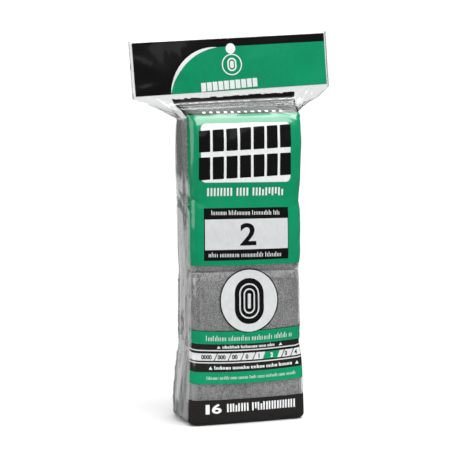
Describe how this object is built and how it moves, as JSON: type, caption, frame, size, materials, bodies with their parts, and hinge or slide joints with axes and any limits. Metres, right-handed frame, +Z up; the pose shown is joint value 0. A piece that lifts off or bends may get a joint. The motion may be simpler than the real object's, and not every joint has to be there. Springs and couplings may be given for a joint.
{
  "type": "steel wool pad pack",
  "caption": "Tall clear film bag with a flat sealed header and hang hole, packed with tiers of flat rolled steel wool pads.",
  "frame": {"origin": "middle of the flat bottom that the pack stands on", "axes": "+Z up to the header, -Y out of the front with the clear windows, +X to the right seen from the front"},
  "size_m": [0.1872, 0.055, 0.3454],
  "materials": {
    "clear_film": "clear glossy plastic film, creased, heat sealed at the header",
    "green_ink": "flat green printing ink under glossy film",
    "black_ink": "flat black printing ink under glossy film",
    "white_ink": "flat white printing ink under glossy film",
    "steel_wool": "fine tangled steel fibres, dull grey with small glints"
  },
  "bodies": {
    "root": {"film_bag": "clear_film", "wool_pad_tier1_row1": "steel_wool", "wool_pad_tier1_row2": "steel_wool", "wool_pad_tier1_row3": "steel_wool", "wool_pad_tier1_row4": "steel_wool", "wool_pad_tier2_row1": "steel_wool", "wool_pad_tier2_row2": "steel_wool", "wool_pad_tier2_row3": "steel_wool", "wool_pad_tier2_row4": "steel_wool", "wool_pad_tier3_row1": "steel_wool", "wool_pad_tier3_row2": "steel_wool", "wool_pad_tier3_row3": "steel_wool", "wool_pad_tier3_row4": "steel_wool", "wool_pad_tier4_row1": "steel_wool", "wool_pad_tier4_row2": "steel_wool", "wool_pad_tier4_row3": "steel_wool", "wool_pad_tier4_row4": "steel_wool"}
  },
  "joints": []
}
